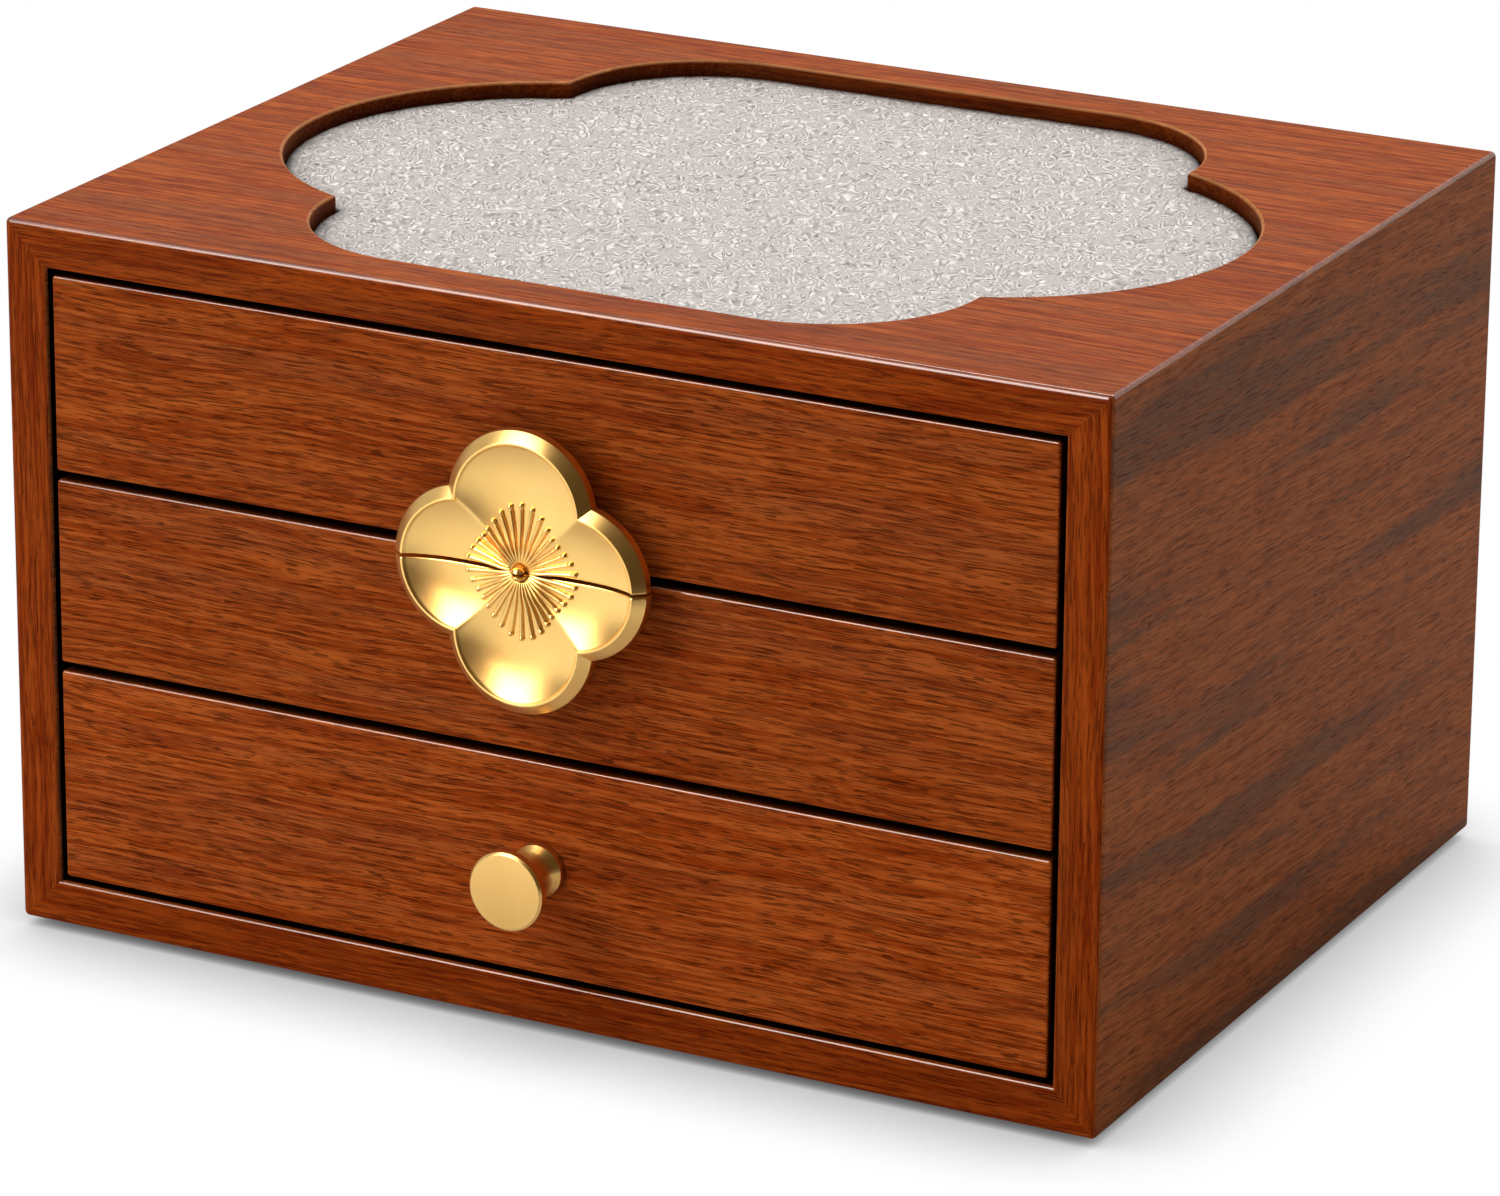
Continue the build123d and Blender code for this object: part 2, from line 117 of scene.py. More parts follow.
class FlowerSizes(bpy.types.PropertyGroup):
    """Sizes of the flower pull."""

    petal_radius: length_property("Petal radius", "Radius of a petal at the foot of its wall", 16.4 * MM)
    reach_up: length_property("Reach up", "From the centre to the middle of the upper petal", 13.4 * MM)
    reach_side: length_property("Reach aside", "From the centre to the middle of a side petal", 12.2 * MM)
    thickness: length_property("Thickness", "From the back of the plate to its rim", 4.2 * MM)
    wall: length_property("Wall", "Height of the outer wall below the bevel", 2.2 * MM)
    bevel: length_property("Bevel", "Width of the bevel", 2.2 * MM)
    rim: length_property("Rim", "Width of the flat rim", 0.45 * MM)
    lip: length_property("Lip", "Drop from the rim to the edge of the cup", 0.4 * MM)
    cup_depth: length_property("Cup depth", "Depth of a cup below its edge", 2.4 * MM)
    slit_edge: length_property("Slit edge", "Rounding along the slit", 0.3 * MM)
    ball: length_property("Ball", "Radius of the ball in the middle", 1.5 * MM)
    stamen: length_property("Stamen", "Radius of a stamen", 0.5 * MM)
    stamen_tip: length_property("Stamen tip", "Radius of the bead at a stamen's tip", 0.6 * MM)
    stamen_start: length_property("Stamen start", "From the centre to a stamen's inner end", 1.4 * MM)
    stamen_reach: length_property("Stamen reach", "From the centre to a bead, on average", 11.9 * MM)
    stamen_gain: length_property("Stamen gain", "Longer by this in the middle of a petal", 1.2 * MM)
    stamen_loss: length_property("Stamen loss", "Shorter by this in a side petal", 0.85 * MM)
    stamens: bpy.props.IntProperty(name="Stamens", description="Stamens on each half", min=3, default=17)


class KnobSizes(bpy.types.PropertyGroup):
    """Sizes of the knob that its solid's box doesn't give."""

    base_diameter: length_property("Base", "Diameter of the base", 11.4 * MM)
    base_thickness: length_property("Base thickness", "Thickness of the base", 1.6 * MM)
    neck_diameter: length_property("Neck", "Diameter of the neck at its narrowest", 6.8 * MM)
    face_thickness: length_property("Face thickness", "Thickness of the face disc", 2.2 * MM)
    chamfer: length_property("Chamfer", "Chamfer round the face", 0.5 * MM)


class PaddingSizes(bpy.types.PropertyGroup):
    """Sizes of the soft pieces."""

    cell: length_property("Fabric cell", "Mesh size of the tray fabric", 0.8 * MM)
    crinkle: length_property("Crinkle", "Height of the fabric's crinkles", 0.22 * MM)
    loft: length_property("Loft", "How far the fabric swells above its board", 1.5 * MM)
    lining_cell: length_property("Lining cell", "Mesh size of the drawer linings", 3.0 * MM)
    lining_ripple: length_property("Lining ripple", "Height of the linings' ripples", 0.12 * MM)
    lining_edge: length_property("Lining edge", "Bevel along the linings' edges", 0.25 * MM)


class StageSizes(bpy.types.PropertyGroup):
    """Camera, floor and surroundings."""

    camera: bpy.props.FloatVectorProperty(
        name="Camera", description="Where the camera stands", subtype="XYZ", unit="LENGTH", size=3,
        default=(0.6644, -1.2863, 0.5761),
    )
    forward: bpy.props.FloatVectorProperty(
        name="Forward", description="Where the camera looks", subtype="DIRECTION", size=3,
        default=(-0.4323, 0.8383, -0.3320),
    )
    roll: bpy.props.FloatProperty(
        name="Roll", description="Turn of the camera about its view", subtype="ANGLE",
        default=math.radians(0.46),
    )
    lens: bpy.props.FloatProperty(
        name="Lens", description="Focal length on a 36 mm sensor", unit="CAMERA", default=173.8
    )
    floor: colour_property("Floor", "Colour of the floor", "#f8f8f8")
    floor_size: length_property("Floor size", "Length of the floor's sides", 12.0)
    floor_front: length_property("Floor front", "How far ahead the floor still shines in the pulls", 0.4)
    shadow_reach: length_property("Shadow reach", "How far the contact shadow reaches", 0.036)
    surroundings: colour_property("Surroundings", "Colour of the room beyond the floor", "#6a563e")
    shade: colour_property("Shade", "Colour of the room as the pulls mirror it", "#4c3d28")
    wall: colour_property("Wall", "Colour of the wall behind the object", "#f4f4f4")


class JewelryBoxSettings(bpy.types.PropertyGroup):
    """All settings of the jewelry box."""

    veneer: bpy.props.PointerProperty(type=VeneerFinish)
    pull: bpy.props.PointerProperty(type=PullFinish)
    fabric: bpy.props.PointerProperty(type=FabricFinish)
    flower: bpy.props.PointerProperty(type=FlowerSizes)
    knob: bpy.props.PointerProperty(type=KnobSizes)
    padding: bpy.props.PointerProperty(type=PaddingSizes)
    stage: bpy.props.PointerProperty(type=StageSizes)


# Materials


def add_node(owner, kind, inputs=None, **settings):
    """Add a node, set it up, and fill its sockets with values or links: a node links its first output."""
    tree = owner.node_tree
    node = tree.nodes.new("ShaderNode" + kind)
    for name, value in settings.items():
        setattr(node, name, value)
    for socket, value in (inputs or {}).items():
        if isinstance(value, bpy.types.Node):
            value = value.outputs[0]
        if isinstance(value, bpy.types.NodeSocket):
            tree.links.new(value, node.inputs[socket])
        else:
            node.inputs[socket].default_value = value
    return node


def start_nodes(owner):
    """Clear the nodes of a material or world, and return what adds nodes to it."""
    owner.use_nodes = True
    owner.node_tree.nodes.clear()
    return partial(add_node, owner)


# How a pattern along X is turned to run along a board's grain
GRAIN_TURN = {"X": (0, 0, 0), "Y": (0, 0, -math.pi / 2), "Z": (0, math.pi / 2, 0)}
# A face looks along an axis where its normal's share of that axis is above this
ALONG_AXIS = 0.7
# The grain wanders sideways by up to about a millimetre, over these lengths along and across it
WANDER = 3 * MM
WANDER_LENGTH_MM = 50
WANDER_WIDTH_MM = 22
# The narrow front edges show few bands
EDGE_BANDING = 0.1


def inside_case(add, place, normal, hollow):
    """1 on faces that look into the case's hollow, below its ceiling and behind its front, else 0."""
    low, high = hollow
    spoke = add("VectorMath", {0: place, 1: (low + high) / 2}, operation="SUBTRACT")
    outward = add("VectorMath", {0: spoke, 1: normal}, operation="DOT_PRODUCT").outputs["Value"]
    spot = add("SeparateXYZ", {0: place})
    inside = add("Math", {0: outward, 1: 0.0}, operation="LESS_THAN")
    below = add("Math", {0: spot.outputs["Z"], 1: high.z}, operation="LESS_THAN")
    behind = add("Math", {0: spot.outputs["Y"], 1: low.y}, operation="GREATER_THAN")
    for limit in (below, behind):
        inside = add("Math", {0: inside, 1: limit}, operation="MULTIPLY")
    return inside


def tray_wall(add, place, finish, opening):
    """The cut wall of the tray's opening: where it is, how much its painted highlight and shade show, and
    their tone.
    """
    low, high = opening
    half = (high - low) / 2
    spoke = add("VectorMath", {0: place, 1: (low + high) / 2}, operation="SUBTRACT")
    spot = add("SeparateXYZ", {0: add("VectorMath", {0: spoke}, operation="ABSOLUTE")})
    across = add("Math", {0: spot.outputs["X"], 1: half.x}, operation="LESS_THAN")
    deep = add("Math", {0: spot.outputs["Y"], 1: half.y}, operation="LESS_THAN")
    at_tray = add("Math", {0: across, 1: deep}, operation="MULTIPLY")
    level = add("SeparateXYZ", {0: place}).outputs["Z"]
    sunk = add("MapRange", {"Value": level, "From Min": high.z, "From Max": low.z})
    # Painted highlight along the rim, and painted shade darkening the wall down to the pad
    wall = add("ValToRGB", {"Fac": sunk})
    stops = wall.color_ramp.elements
    rim_highlight, cut = finish.rim_highlight[:3], finish.cut[:3]
    stops[0].color = (*rim_highlight, 0.0)
    stops[1].color = (*cut, 0.92)
    for depth_share, tone, amount in ((0.03, rim_highlight, 0.55), (0.08, rim_highlight, 0.4), (0.15, cut, 0.4)):
        stops.new(depth_share).color = (*tone, amount)
    shown = add("Math", {0: at_tray, 1: wall.outputs["Alpha"]}, operation="MULTIPLY")
    return at_tray, shown, wall.outputs["Color"]


def veneer(
    name, finish, grain, edge_grain=None, slant=0.0, banding=0.5, band_mm=7.0, contrast=1.0, fading=0.0,
    lift=1.0, hollow=None, opening=None, gap_mm=0.0,
):
    """Reddish tropical hardwood veneer, sliced, stained and sprayed with satin lacquer.

    The eye sees short dark pore dashes along the grain, lighter streaks between them, wider dark
    bands, and a clear gloss only where the lacquer runs over the eased edges. Contrast scales the
    streaks and pores, and lift makes a leaf paler as painted light. Hollow is the corners of the
    case's inside, which gets painted shade; opening is the corners round the tray's cut wall, which
    gets a painted highlight at its rim and painted shade below; and gap_mm is how far painted shade
    reaches from a neighbour onto an edge.
    """
    material = bpy.data.materials.new(name)
    add = start_nodes(material)
    place = add("TexCoord").outputs["Object"]
    normal = add("NewGeometry").outputs["Normal"]
    rise = add("SeparateXYZ", {0: normal}).outputs["Z"]
    facing = add("SeparateXYZ", {0: add("VectorMath", {0: normal}, operation="ABSOLUTE")})
    on_front = add("Math", {0: facing.outputs["Y"], 1: ALONG_AXIS}, operation="GREATER_THAN")
    slanted = add("Mapping", {"Vector": place, "Rotation": (slant, 0, 0)})
    along = add("Mapping", {"Vector": slanted, "Rotation": GRAIN_TURN[grain]})
    banded, faded = banding, fading
    if edge_grain:
        edge = add("Mapping", {"Vector": place, "Rotation": GRAIN_TURN[edge_grain]})
        along = add("Mix", {"Factor": on_front, 4: along, 5: edge}, data_type="VECTOR").outputs[1]
        banded = add("MapRange", {"Value": on_front, "To Min": banding, "To Max": EDGE_BANDING})
        faded = add("MapRange", {"Value": on_front, "To Min": fading, "To Max": 0.0})

    stretch = [PER_MM / size for size in (WANDER_LENGTH_MM, WANDER_WIDTH_MM, WANDER_WIDTH_MM)]
    drift = add("Mapping", {"Vector": along, "Scale": stretch})
    drift = add("TexNoise", {"Vector": drift, "Scale": 1.0, "Detail": 1.0}).outputs["Color"]
    drift = add("VectorMath", {0: drift, 1: (0.5, 0.5, 0.5)}, operation="SUBTRACT")
    along = add("VectorMath", {0: drift, 1: (0, WANDER, WANDER), 2: along}, operation="MULTIPLY_ADD")

    def streaks(length_mm, width_mm, detail, start, full, amount=1.0):
        """Streaks along the grain, which rise from nothing to their amount between two noise levels."""
        sizes = (length_mm, width_mm, width_mm)
        scaled = add("Mapping", {"Vector": along, "Scale": [PER_MM / size for size in sizes]})
        noise = add("TexNoise", {"Vector": scaled, "Scale": 1.0, "Detail": detail})
        levels = {"Value": noise, "From Min": start, "From Max": full, "To Max": amount}
        return add("MapRange", levels, interpolation_type="SMOOTHSTEP")

    # Painted light: lift makes a drawer front's leaf paler, the lower fronts more
    light, middle, dark = (
        [min(lift * channel, 1.0) for channel in tone[:3]] + [1.0]
        for tone in (finish.light, finish.middle, finish.dark)
    )
    fibres = streaks(12, 0.2, 1.0, 0.35, 0.7)
    fine_pores = streaks(7.0, 0.2, 0.0, 0.60, 0.66)
    bold_pores = streaks(5.0, 0.3, 0.0, 0.65, 0.70)
    pores = add("Math", {0: fine_pores, 1: bold_pores}, operation="MAXIMUM")
    light_fibres = add("Math", {0: fibres, 1: 0.32}, operation="MULTIPLY")
    dark_pores = add("Math", {0: pores, 1: 0.65 * contrast}, operation="MULTIPLY")

    # Layers over the main tone, from the lowest up: how much of each shows, its tone, and how it is laid
    layers = [(streaks(36, 0.9, 3.0, 0.36, 0.64), light, "MIX")]
    if fading:
        layers.append((faded, finish.faded, "MIX"))
    layers += [
        (streaks(20, 0.7, 2.0, 0.5, 0.70, 0.5 * contrast), dark, "MIX"),
        (streaks(20 * band_mm, band_mm, 2.0, 0.48, 0.66, banded), finish.band, "MIX"),
        (streaks(12, 3.0, 2.0, 0.50, 0.72, 0.35 * contrast), dark, "MIX"),
        (light_fibres, light, "MIX"),
        (dark_pores, finish.pore, "MIX"),
    ]
    if hollow:
        # Painted shade: the inside of the case is painted near black with the stain colour, and the front
        # edges took more stain than the broad faces
        layers.append((inside_case(add, place, normal, hollow), finish.stain, "MIX"))
        layers.append((on_front, finish.deep, "MULTIPLY"))
    if opening:
        # Painted highlight at the rim of the opening and painted shade down its cut wall, and the lacquer
        # is thin there
        at_tray, wall_share, wall_highlight_and_shade = tray_wall(add, place, finish, opening)
        layers.append((wall_share, wall_highlight_and_shade, "MIX"))
    if gap_mm:
        # Painted shade: ambient occlusion darkens, with the stain colour, the edges that stand in a narrow
        # gap and the front round the pulls
        shade_occlusion = add("AmbientOcclusion", {"Distance": gap_mm * MM}, samples=6).outputs["AO"]
        gap_shade = add("MapRange", {"Value": shade_occlusion, "From Min": 0.8, "From Max": 0.15})
        layers.append((gap_shade, finish.stain, "MIX"))
    colour = middle
    for amount, tone, blend in layers:
        mixed = add("Mix", {"Factor": amount, 6: colour, 7: tone}, data_type="RGBA", blend_type=blend)
        colour = mixed.outputs[2]

    # An eased edge faces between the axes, and the lacquer settles thick and clear on the upper ones
    largest = add("Math", {0: facing.outputs["X"], 1: facing.outputs["Y"]}, operation="MAXIMUM")
    largest = add("Math", {0: largest, 1: facing.outputs["Z"]}, operation="MAXIMUM")
    levels = {"Value": largest, "From Min": 0.995, "From Max": 0.93}
    eased = add("MapRange", levels, interpolation_type="SMOOTHSTEP")
    upper = add("MapRange", {"Value": rise, "From Min": 0.15, "From Max": 0.45})
    gloss = add("Math", {0: eased, 1: upper}, operation="MULTIPLY")
    if opening:
        off_tray = add("Math", {0: 1.0, 1: at_tray}, operation="SUBTRACT")
        gloss = add("Math", {0: gloss, 1: off_tray}, operation="MULTIPLY")

    roughness = add("MapRange", {"Value": fibres, "To Min": 0.40, "To Max": 0.52})
    bump = add("Bump", {"Height": pores, "Strength": 0.35, "Distance": 0.06 * MM}, invert=True)
    shader = add("BsdfPrincipled", {
        "Base Color": colour, "Roughness": roughness, "Specular IOR Level": 0.02, "Normal": bump,
        "Coat Weight": gloss, "Coat Roughness": 0.12, "Coat IOR": 1.6,
    })
    add("OutputMaterial", {"Surface": shader})
    return material


def plated_brass(finish):
    """Cast brass with a satin gold plating: warm, smooth reflections and a faint cloudiness."""
    material = bpy.data.materials.new("gold_plated_brass")
    add = start_nodes(material)
    place = add("TexCoord").outputs["Object"]
    cloud_mm, grit_mm = 9, 0.4
    cloud = add("TexNoise", {"Vector": place, "Scale": PER_MM / cloud_mm, "Detail": 2.0})
    colour = add("Mix", {"Factor": cloud, 6: finish.warm, 7: finish.gold}, data_type="RGBA").outputs[2]
    roughness = add("MapRange", {"Value": cloud, "To Min": 0.26, "To Max": 0.32})
    grit = add("TexNoise", {"Vector": place, "Scale": PER_MM / grit_mm, "Detail": 1.0})
    bump = add("Bump", {"Height": grit, "Strength": 0.03, "Distance": 0.02 * MM})
    shader = add("BsdfPrincipled", {
        "Base Color": colour, "Metallic": 1.0, "Roughness": roughness, "Normal": bump,
    })
    add("OutputMaterial", {"Surface": shader})
    return material


def plain_material(name, first, second, patch_mm, roughness, metallic=0.0):
    """A plain finish whose tone and relief drift over patches of a real size."""
    material = bpy.data.materials.new(name)
    add = start_nodes(material)
    place = add("TexCoord").outputs["Object"]
    patches = add("TexNoise", {"Vector": place, "Scale": PER_MM / patch_mm, "Detail": 4.0})
    tones = {"Factor": patches, 6: linear(first), 7: linear(second)}
    colour = add("Mix", tones, data_type="RGBA").outputs[2]
    bump = add("Bump", {"Height": patches, "Strength": 0.4, "Distance": 0.02 * MM})
    shader = add("BsdfPrincipled", {
        "Base Color": colour, "Metallic": metallic, "Roughness": roughness, "Normal": bump,
    })
    add("OutputMaterial", {"Surface": shader})
    return material


# The creases run longer along one diagonal
CREASE_TURN = math.radians(27)
CREASE_STRETCH = 1.8
# Layers of creases: size of their noise in mm, waves over it, size of their patches in mm, depth, and seed
CREASES = (
    (2.7, 6.0, 1.5, 0.25, 0.0),
    (1.9, 5.0, 1.3, 0.21, 9.0),
)


def crinkled_fabric(finish):
    """Silver-grey faux silk, embossed with fine curly creases, painted with a lit side and a shaded side.
    """
    material = bpy.data.materials.new("crinkled_silver_fabric")
    add = start_nodes(material)
    place = add("TexCoord").outputs["Object"]
    diagonal = {"Vector": place, "Rotation": (0, 0, CREASE_TURN), "Scale": (1, CREASE_STRETCH, 1)}
    place = add("Mapping", diagonal, vector_type="TEXTURE")

    # Each layer of creases follows the contours of a soft noise, and comes and goes in small patches
    tone = 0.5
    for size_mm, waves, patch_mm, depth, seed in CREASES:
        contours = {"Vector": place, "W": seed, "Scale": PER_MM / size_mm, "Detail": 0.0}
        noise = add("TexNoise", {**contours, "Distortion": 0.25}, noise_dimensions="4D")
        turn = add("Math", {0: noise, 1: math.tau * waves}, operation="MULTIPLY")
        crease = add("Math", {0: turn}, operation="SINE")
        spots = {"Vector": place, "W": seed + 3, "Scale": PER_MM / patch_mm, "Detail": 0.0}
        patch = add("TexNoise", spots, noise_dimensions="4D")
        strength = add("MapRange", {"Value": patch, "From Min": 0.38, "From Max": 0.65, "To Max": depth})
        tone = add("Math", {0: crease, 1: strength, 2: tone}, operation="MULTIPLY_ADD")
    # Painted light and shade: the ramp gives each crease a shaded side and a lit side
    ramp = add("ValToRGB", {"Fac": tone})
    stops = ramp.color_ramp.elements
    stops[0].color = finish.shade
    stops[1].color = finish.lit_side
    stops.new(0.5).color = finish.silver

    # Painted shade: ambient occlusion darkens the fabric where it meets the wall of the opening
    shade_occlusion = add("AmbientOcclusion", {"Distance": 20 * MM}, samples=8).outputs["AO"]
    unshaded = add("MapRange", {"Value": shade_occlusion, "From Min": 0.7, "From Max": 0.93, "To Min": 0.12})
    colour = add("VectorMath", {0: ramp, "Scale": unshaded}, operation="SCALE")
    bump = add("Bump", {"Height": tone, "Strength": 1.0, "Distance": 0.1 * MM})
    shader = add("BsdfPrincipled", {
        "Base Color": colour, "Roughness": 0.5, "Specular IOR Level": 0.4, "Normal": bump,
        "Sheen Weight": 0.15, "Sheen Roughness": 0.4,
    })
    add("OutputMaterial", {"Surface": shader})
    return material


def grey_felt(finish):
    """Flocked felt: a soft pile that scatters light at grazing angles, with lighter combed patches."""
    material = bpy.data.materials.new("grey_felt")
    add = start_nodes(material)
    place = add("TexCoord").outputs["Object"]
    fuzz_mm, combed_mm = 0.5, 18
    fuzz = add("TexNoise", {"Vector": place, "Scale": PER_MM / fuzz_mm, "Detail": 3.0})
    combed = add("TexNoise", {"Vector": place, "Scale": PER_MM / combed_mm, "Detail": 2.0})
    tone = add("Math", {0: fuzz, 1: combed}, operation="MULTIPLY")
    levels = {"Value": tone, "From Min": 0.1, "From Max": 0.45, "To Min": 0.7, "To Max": 1.1}
    colour = add("VectorMath", {0: finish.lining[:3], "Scale": add("MapRange", levels)}, operation="SCALE")
    bump = add("Bump", {"Height": fuzz, "Strength": 0.6, "Distance": 0.15 * MM})
    shader = add("BsdfPrincipled", {
        "Base Color": colour, "Roughness": 0.95, "Specular IOR Level": 0.1, "Normal": bump,
        "Sheen Weight": 0.5, "Sheen Roughness": 0.5,
    })
    add("OutputMaterial", {"Surface": shader})
    return material


def dress(names, material):
    """Give solids their finish."""
    for name in names:
        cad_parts[name].data.materials[0] = material


# Modelling helpers


def select_alone(obj):
    bpy.ops.object.select_all(action="DESELECT")
    bpy.context.view_layer.objects.active = obj
    obj.select_set(True)


def start_edit(obj):
    """Edit one object alone, with nothing selected in it."""
    select_alone(obj)
    bpy.ops.object.mode_set(mode="EDIT")
    bpy.ops.mesh.select_all(action="DESELECT")


def select_vertices(obj, chosen):
    """Select vertices by their number, from edit mode."""
    bpy.ops.object.mode_set(mode="OBJECT")
    flags = np.zeros(len(obj.data.vertices), bool)
    flags[chosen] = True
    obj.data.vertices.foreach_set("select", flags)
    bpy.ops.object.mode_set(mode="EDIT")
    bpy.ops.mesh.select_mode(type="VERT")


def points_of(obj):
    """The mesh's points as rows of x, y, z."""
    points = np.empty(len(obj.data.vertices) * 3)
    obj.data.vertices.foreach_get("co", points)
    return points.reshape(-1, 3)


def move_points(obj, points):
    obj.data.vertices.foreach_set("co", np.asarray(points, float).ravel())
    obj.data.update()


def add_grid(columns, rows, name):
    """A flat sheet, one metre square, with so many columns and rows of points."""
    bpy.ops.object.select_all(action="DESELECT")
    bpy.ops.mesh.primitive_grid_add(x_subdivisions=columns - 1, y_subdivisions=rows - 1, size=1)
    sheet = bpy.context.object
    sheet.name = name
    return sheet


def close_mesh(merge=0.002 * MM):
    """In edit mode: merge doubles, turn the faces outwards, and leave edit mode."""
    bpy.ops.mesh.select_all(action="SELECT")
    bpy.ops.mesh.remove_doubles(threshold=merge)
    bpy.ops.mesh.dissolve_degenerate(threshold=merge)
    bpy.ops.mesh.select_all(action="SELECT")
    bpy.ops.mesh.normals_make_consistent(inside=False)
    bpy.ops.object.mode_set(mode="OBJECT")


def smooth(obj, degrees):
    """Shade smooth, with edges sharper than an angle kept crisp."""
    select_alone(obj)
    bpy.ops.object.shade_smooth_by_angle(angle=math.radians(degrees))


def join(pieces, name):
    """Join pieces into the first one."""
    bpy.ops.object.select_all(action="DESELECT")
    for piece in pieces:
        piece.select_set(True)
    bpy.context.view_layer.objects.active = pieces[0]
    bpy.ops.object.join()
    pieces[0].name = name
    pieces[0].data.name = name
    return pieces[0]


def hand_over(obj, body, slot, material, *nodes):
    """Dress a finished piece, put it on the body it rides on, and hide the solids it stands for."""
    obj.data.materials.clear()
    obj.data.materials.append(material)
    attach(obj, body)
    if nodes:
        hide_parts(*nodes)


def rounded(corners, steps=6):
    """An open section with its corners rounded: each corner is (x, y, radius)."""
    points = [np.array(corners[0][:2])]
    for before, corner, after in zip(corners, corners[1:], corners[2:]):
        centre, radius = np.array(corner[:2]), corner[2]
        back = np.array(before[:2]) - centre
        ahead = np.array(after[:2]) - centre
        back = back / np.linalg.norm(back)
        ahead = ahead / np.linalg.norm(ahead)
        if radius <= 0:
            points.append(centre)
            continue
        half = math.acos(float(np.clip(back @ ahead, -1, 1))) / 2
        reach = radius / math.tan(half)
        middle = back + ahead
        hub = centre + middle / np.linalg.norm(middle) * radius / math.sin(half)
        first = centre + back * reach - hub
        last = centre + ahead * reach - hub
        turn = math.pi - 2 * half
        for step in range(steps + 1):
            share = step / steps
            arm = (first * math.sin((1 - share) * turn) + last * math.sin(share * turn)) / math.sin(turn)
            points.append(hub + arm)
    points.append(np.array(corners[-1][:2]))
    return points


# Flower pull


class Flower:
    """Where the flower's points lie, in metres: x aside and z up from its centre, h out from its back."""

    ridge_softness = 0.12 * MM
    bowl_power = 2.6           # the higher, the flatter is a cup's floor and the steeper its side
    middle_depth = 0.85        # depth of the flat middle, as a share of the cups' depth
    middle_rise = 1.2          # how far it has risen at the cups' radius, as a share of their depth
    crowding = 1.7             # the higher, the closer are the steps beside the slit

    def __init__(self, sizes):
        upper_low, upper_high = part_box("flower_upper_half")
        lower_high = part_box("flower_lower_half")[1]
        self.sizes = sizes
        self.centre_z = (upper_low.z + lower_high.z) / 2
        self.half_slit = (upper_low.z - lower_high.z) / 2
        self.back_y = upper_high.y
        self.cup_radius = sizes.petal_radius - sizes.bevel - sizes.rim - sizes.lip / 2
        self.edge_height = sizes.thickness - sizes.lip
        side, up = sizes.reach_side, sizes.reach_up
        self.spots = [(side, 0.0), (0.0, up), (-side, 0.0), (0.0, -up)]

    def cup(self, x, z):
        """Height of the cups' floor: each is a bowl, and the lowest counts, with soft ridges between."""
        depth = self.sizes.cup_depth
        bowls = []
        for spot_x, spot_z in self.spots:
            out = np.hypot(x - spot_x, z - spot_z) / self.cup_radius
            bowls.append(self.edge_height - depth * (1 - out ** self.bowl_power))
        # A nearly flat middle, on which the stamens start
        spread = np.hypot(x, z) / self.cup_radius
        bowls.append(self.edge_height - depth * (self.middle_depth - self.middle_rise * spread ** 2))
        bowls = np.array(bowls)
        lowest = bowls.min(axis=0)
        above = np.exp(-(bowls - lowest) / self.ridge_softness)
        return lowest - self.ridge_softness * np.log(above.sum(axis=0))

    def outline(self, radius, side_steps, top_steps):
        """The upper half's outline at one petal radius, from the slit on the right to that on the left."""
        side, up = self.sizes.reach_side, self.sizes.reach_up
        apart = math.hypot(side, up)
        reach = math.sqrt(radius ** 2 - (apart / 2) ** 2)
        notch_x = side / 2 + up / apart * reach
        notch_z = up / 2 + side / apart * reach
        start = math.asin(self.half_slit / radius)
        side_end = math.atan2(notch_z, notch_x - side)
        top_start = math.atan2(notch_z - up, notch_x)
        # Closer steps beside the slit, where the edge is rounded
        turns = start + (side_end - start) * np.linspace(0, 1, side_steps + 1) ** self.crowding
        right = np.column_stack((side + radius * np.cos(turns), radius * np.sin(turns)))
        turns = np.linspace(top_start, math.pi - top_start, top_steps + 1)[1:-1]
        top = np.column_stack((radius * np.cos(turns), up + radius * np.sin(turns)))
        left = right[::-1] * (-1, 1)
        return np.vstack((right, top, left))

    def place(self, x, z, h, up):
        """World points of one half: up is 1 for the upper half and -1 for the lower."""
        return np.column_stack((x, self.back_y - h, self.centre_z + up * z))


